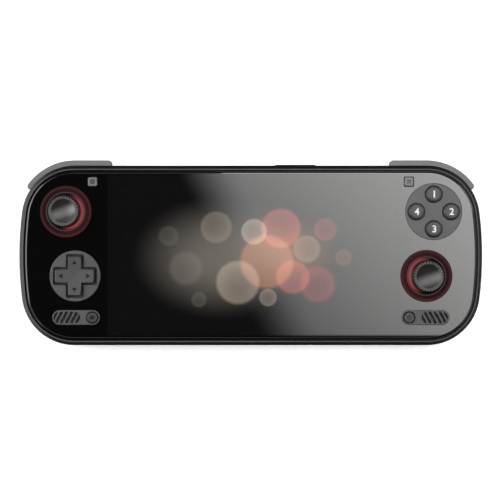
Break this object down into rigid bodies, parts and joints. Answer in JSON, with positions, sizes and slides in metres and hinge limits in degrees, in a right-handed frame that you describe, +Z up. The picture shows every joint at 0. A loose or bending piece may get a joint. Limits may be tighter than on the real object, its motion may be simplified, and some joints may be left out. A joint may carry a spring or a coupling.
{
  "type": "handheld game console",
  "caption": "Wide handheld game console with thumb sticks, directional pad, action buttons, shoulder triggers and a large display under one glass.",
  "frame": {"origin": "middle of the outline, shoulder buttons included, on the surface that the console lies on", "axes": "+X to the right along the long side, +Y towards the shoulder buttons, +Z up out of the screen"},
  "size_m": [0.2154, 0.0862, 0.0236],
  "materials": {
    "glass": "polished smoked cover glass",
    "display": "display panel",
    "frame_metal": "dark anodised, satin",
    "rear_plastic": "fine textured matte plastic",
    "plate_plastic": "satin grey plastic",
    "d_pad_plastic": "satin dark grey plastic",
    "button_plastic": "satin black plastic, printed mark",
    "small_button_plastic": "satin dark grey plastic, printed mark",
    "shoulder_plastic": "satin grey plastic",
    "trigger_plastic": "satin grey plastic",
    "smoked_plastic": "smoked clear plastic over a red light",
    "light_ring": "milky light guide, lit red",
    "shaft_plastic": "smooth black plastic",
    "cap_rubber": "matte rubber",
    "silicone": "translucent silicone",
    "inner_plastic": "moulded black plastic",
    "circuit_board": "solder resist",
    "battery_foil": "wrapped foil pack",
    "fin_aluminium": "bare fins",
    "pipe_copper": "flattened copper tube",
    "port_steel": "stamped steel",
    "screw_steel": "dark steel",
    "spring_steel": "spring wire"
  },
  "bodies": {
    "root": {"cover_glass": "glass", "display_panel": "display", "mid_frame": "frame_metal", "rear_shell": "rear_plastic", "rear_screws": "screw_steel", "board_screws": "screw_steel", "bumper_pins": "screw_steel", "trigger_pins": "screw_steel", "trigger_springs": "spring_steel", "d_pad_plate": "plate_plastic", "d_pad_membrane": "silicone", "face_button_plate": "plate_plastic", "face_button_membrane": "silicone", "main_board": "circuit_board", "battery": "battery_foil", "fan_housing": "inner_plastic", "heat_sink": "fin_aluminium", "heat_pipe": "pipe_copper", "card_reader": "port_steel", "usb_c_port": "port_steel", "left_stick_bezel": "smoked_plastic", "left_light_ring": "light_ring", "left_stick_module": "inner_plastic", "left_speaker_grille": "plate_plastic", "left_speaker": "inner_plastic", "left_vibration_motor": "port_steel", "left_control_board": "circuit_board", "right_stick_bezel": "smoked_plastic", "right_light_ring": "light_ring", "right_stick_module": "inner_plastic", "right_speaker_grille": "plate_plastic", "right_speaker": "inner_plastic", "right_vibration_motor": "port_steel", "right_control_board": "circuit_board"},
    "left_stick_yoke": {"left_stick_yoke": "screw_steel"},
    "left_stick_hub": {"left_stick_hub": "screw_steel"},
    "left_stick": {"left_stick_shaft": "shaft_plastic", "left_stick_cap": "cap_rubber"},
    "right_stick_yoke": {"right_stick_yoke": "screw_steel"},
    "right_stick_hub": {"right_stick_hub": "screw_steel"},
    "right_stick": {"right_stick_shaft": "shaft_plastic", "right_stick_cap": "cap_rubber"},
    "d_pad_pivot": {"d_pad_pivot": "screw_steel"},
    "d_pad": {"d_pad": "d_pad_plastic"},
    "face_button_right": {"face_button_right": "button_plastic"},
    "face_button_top": {"face_button_top": "button_plastic"},
    "face_button_left": {"face_button_left": "button_plastic"},
    "face_button_bottom": {"face_button_bottom": "button_plastic"},
    "left_round_button": {"left_round_button": "button_plastic"},
    "left_square_button": {"left_square_button": "small_button_plastic"},
    "left_bumper": {"left_bumper": "shoulder_plastic"},
    "left_trigger": {"left_trigger": "trigger_plastic"},
    "right_round_button": {"right_round_button": "button_plastic"},
    "right_square_button": {"right_square_button": "small_button_plastic"},
    "right_bumper": {"right_bumper": "shoulder_plastic"},
    "right_trigger": {"right_trigger": "trigger_plastic"},
    "volume_rocker": {"volume_rocker": "frame_metal"},
    "power_button": {"power_button": "frame_metal"},
    "fan_impeller": {"fan_impeller": "inner_plastic"},
    "card_tray": {"card_tray": "frame_metal"}
  },
  "joints": [
    {"name": "left_stick_up_down", "type": "hinge", "parent": "root", "child": "left_stick_yoke", "pos_m": [-0.0858, 0.019, 0.0114], "axis": [1, 0, 0], "range_deg": [-14, 14], "stiffness_Nm_per_rad": 0.03},
    {"name": "left_stick_left_right", "type": "hinge", "parent": "left_stick_yoke", "child": "left_stick_hub", "pos_m": [-0.0858, 0.019, 0.0114], "axis": [0, 1, 0], "range_deg": [-14, 14], "stiffness_Nm_per_rad": 0.03},
    {"name": "left_stick_click", "type": "slide", "parent": "left_stick_hub", "child": "left_stick", "axis": [0, 0, -1], "range_m": [0, 0.0004], "stiffness_N_per_m": 1500},
    {"name": "right_stick_up_down", "type": "hinge", "parent": "root", "child": "right_stick_yoke", "pos_m": [0.0814, -0.01085, 0.0114], "axis": [1, 0, 0], "range_deg": [-14, 14], "stiffness_Nm_per_rad": 0.03},
    {"name": "right_stick_left_right", "type": "hinge", "parent": "right_stick_yoke", "child": "right_stick_hub", "pos_m": [0.0814, -0.01085, 0.0114], "axis": [0, 1, 0], "range_deg": [-14, 14], "stiffness_Nm_per_rad": 0.03},
    {"name": "right_stick_click", "type": "slide", "parent": "right_stick_hub", "child": "right_stick", "axis": [0, 0, -1], "range_m": [0, 0.0004], "stiffness_N_per_m": 1500},
    {"name": "d_pad_up_down", "type": "hinge", "parent": "root", "child": "d_pad_pivot", "pos_m": [-0.0815, -0.01085, 0.0114], "axis": [1, 0, 0], "range_deg": [-4, 4], "stiffness_Nm_per_rad": 0.1},
    {"name": "d_pad_left_right", "type": "hinge", "parent": "d_pad_pivot", "child": "d_pad", "pos_m": [-0.0815, -0.01085, 0.0114], "axis": [0, 1, 0], "range_deg": [-4, 4], "stiffness_Nm_per_rad": 0.1},
    {"name": "face_button_right_press", "type": "slide", "parent": "root", "child": "face_button_right", "axis": [0, 0, -1], "range_m": [0, 0.0012], "stiffness_N_per_m": 500},
    {"name": "face_button_top_press", "type": "slide", "parent": "root", "child": "face_button_top", "axis": [0, 0, -1], "range_m": [0, 0.0012], "stiffness_N_per_m": 500},
    {"name": "face_button_left_press", "type": "slide", "parent": "root", "child": "face_button_left", "axis": [0, 0, -1], "range_m": [0, 0.0012], "stiffness_N_per_m": 500},
    {"name": "face_button_bottom_press", "type": "slide", "parent": "root", "child": "face_button_bottom", "axis": [0, 0, -1], "range_m": [0, 0.0012], "stiffness_N_per_m": 500},
    {"name": "left_round_button_press", "type": "slide", "parent": "root", "child": "left_round_button", "axis": [0, 0, -1], "range_m": [0, 0.0005], "stiffness_N_per_m": 1500},
    {"name": "left_square_button_press", "type": "slide", "parent": "root", "child": "left_square_button", "axis": [0, 0, -1], "range_m": [0, 0.0005], "stiffness_N_per_m": 1500},
    {"name": "left_bumper_press", "type": "hinge", "parent": "root", "child": "left_bumper", "pos_m": [-0.0714, 0.03815, 0.0089], "axis": [0, 0, 1], "range_deg": [0, 2], "stiffness_Nm_per_rad": 1.4},
    {"name": "left_trigger_pull", "type": "hinge", "parent": "root", "child": "left_trigger", "pos_m": [-0.08075, 0.03322, 0.00377], "axis": [1, 0, 0], "range_deg": [0, 9], "stiffness_Nm_per_rad": 0.12},
    {"name": "right_round_button_press", "type": "slide", "parent": "root", "child": "right_round_button", "axis": [0, 0, -1], "range_m": [0, 0.0005], "stiffness_N_per_m": 1500},
    {"name": "right_square_button_press", "type": "slide", "parent": "root", "child": "right_square_button", "axis": [0, 0, -1], "range_m": [0, 0.0005], "stiffness_N_per_m": 1500},
    {"name": "right_bumper_press", "type": "hinge", "parent": "root", "child": "right_bumper", "pos_m": [0.0714, 0.03815, 0.0089], "axis": [0, 0, -1], "range_deg": [0, 2], "stiffness_Nm_per_rad": 1.4},
    {"name": "right_trigger_pull", "type": "hinge", "parent": "root", "child": "right_trigger", "pos_m": [0.08075, 0.03322, 0.00377], "axis": [1, 0, 0], "range_deg": [0, 9], "stiffness_Nm_per_rad": 0.12},
    {"name": "volume_rocker_tilt", "type": "hinge", "parent": "root", "child": "volume_rocker", "pos_m": [0.0209, 0.03745, 0.0102], "axis": [0, 0, 1], "range_deg": [-1.5, 1.5], "stiffness_Nm_per_rad": 0.35},
    {"name": "power_button_press", "type": "slide", "parent": "root", "child": "power_button", "axis": [0, -1, 0], "range_m": [0, 0.0003], "stiffness_N_per_m": 3000},
    {"name": "fan_spin", "type": "hinge", "parent": "root", "child": "fan_impeller", "pos_m": [-0.014, 0.00815, 0.0044], "axis": [0, 0, 1], "continuous": true},
    {"name": "card_tray_slide", "type": "slide", "parent": "root", "child": "card_tray", "axis": [0, -1, 0], "range_m": [0, 0.014]}
  ]
}
